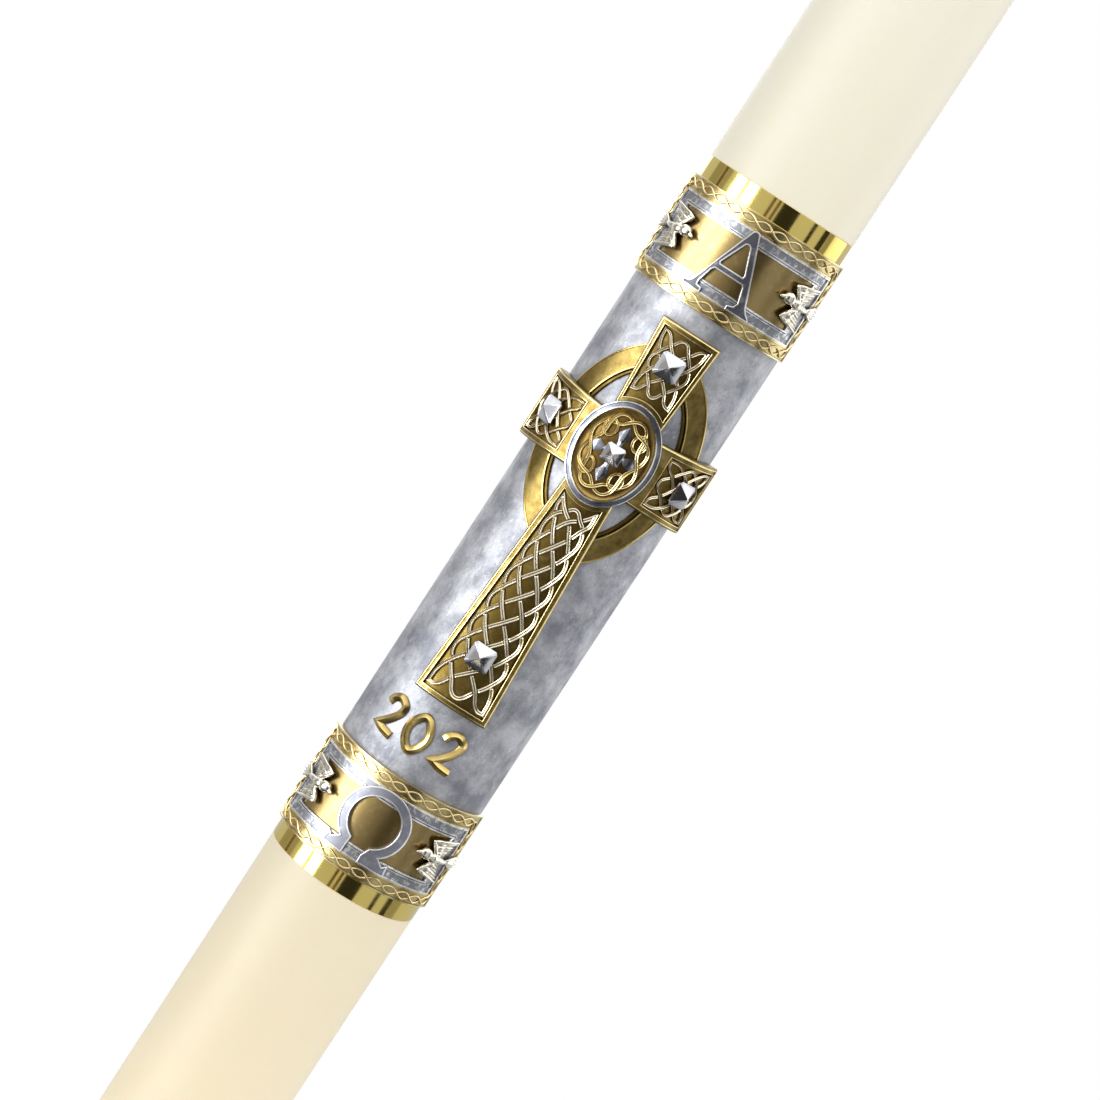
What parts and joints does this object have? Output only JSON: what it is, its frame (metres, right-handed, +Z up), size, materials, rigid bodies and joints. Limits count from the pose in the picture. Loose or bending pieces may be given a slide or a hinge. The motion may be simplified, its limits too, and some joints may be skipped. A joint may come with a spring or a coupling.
{
  "type": "decorated pillar candle",
  "caption": "Tall round wax pillar candle with a metal-leaf sleeve, wrapped letter plaques, a ringed cross in relief and pull-out nails.",
  "frame": {"origin": "centre of the round base, on the surface that the candle stands on", "axes": "+Z up along the candle's axis, -Y out of the ornamented front, +X to a viewer's right"},
  "size_m": [0.0858, 0.0875, 0.9334],
  "materials": {
    "ivory_wax": "satin",
    "wick_cotton": "matte",
    "silver_leaf": "satin",
    "polished_gold_foil": "polished",
    "gilded_wax": "satin",
    "gilded_knotwork": "satin",
    "silvered_knotwork": "satin",
    "silvered_wax": "satin",
    "silvered_doves": "satin",
    "gilded_numerals": "gloss",
    "silver_nail_head": "polished",
    "steel_pin": "satin"
  },
  "bodies": {
    "candle": {"wax_pillar": "ivory_wax", "wick": "wick_cotton", "silver_leaf_sleeve": "silver_leaf", "lower_gold_foil": "polished_gold_foil", "upper_gold_foil": "polished_gold_foil", "alpha_plaque": "gilded_wax", "omega_plaque": "gilded_wax", "cross_body": "gilded_wax", "ring_lower_left": "gilded_wax", "ring_lower_right": "gilded_wax", "ring_upper_left": "gilded_wax", "ring_upper_right": "gilded_wax", "medallion_disc": "gilded_wax", "alpha_border_knotwork": "gilded_knotwork", "omega_border_knotwork": "gilded_knotwork", "medallion_knotwork": "gilded_knotwork", "cross_head_knotwork": "silvered_knotwork", "cross_shaft_knotwork": "silvered_knotwork", "cross_left_knotwork": "silvered_knotwork", "cross_right_knotwork": "silvered_knotwork", "alpha_frame": "silvered_wax", "omega_frame": "silvered_wax", "alpha_letter": "silvered_wax", "omega_letter": "silvered_wax", "medallion_rim": "silvered_wax", "medallion_cross": "silvered_wax", "alpha_dove_left": "silvered_doves", "alpha_dove_right": "silvered_doves", "omega_dove_left": "silvered_doves", "omega_dove_right": "silvered_doves", "year_digit_first": "gilded_numerals", "year_digit_second": "gilded_numerals", "year_digit_third": "gilded_numerals"},
    "nail_centre": {"nail_head_centre": "silver_nail_head", "nail_pin_centre": "steel_pin"},
    "nail_top": {"nail_head_top": "silver_nail_head", "nail_pin_top": "steel_pin"},
    "nail_foot": {"nail_head_foot": "silver_nail_head", "nail_pin_foot": "steel_pin"},
    "nail_left": {"nail_head_left": "silver_nail_head", "nail_pin_left": "steel_pin"},
    "nail_right": {"nail_head_right": "silver_nail_head", "nail_pin_right": "steel_pin"}
  },
  "joints": [
    {"name": "nail_centre_pull", "type": "slide", "parent": "candle", "child": "nail_centre", "axis": [0, -1, 0], "range_m": [0, 0.02]},
    {"name": "nail_top_pull", "type": "slide", "parent": "candle", "child": "nail_top", "axis": [0, -1, 0], "range_m": [0, 0.02]},
    {"name": "nail_foot_pull", "type": "slide", "parent": "candle", "child": "nail_foot", "axis": [0, -1, 0], "range_m": [0, 0.02]},
    {"name": "nail_left_pull", "type": "slide", "parent": "candle", "child": "nail_left", "axis": [-0.7848, -0.6198, 0], "range_m": [0, 0.02]},
    {"name": "nail_right_pull", "type": "slide", "parent": "candle", "child": "nail_right", "axis": [0.7848, -0.6198, 0], "range_m": [0, 0.02]}
  ]
}
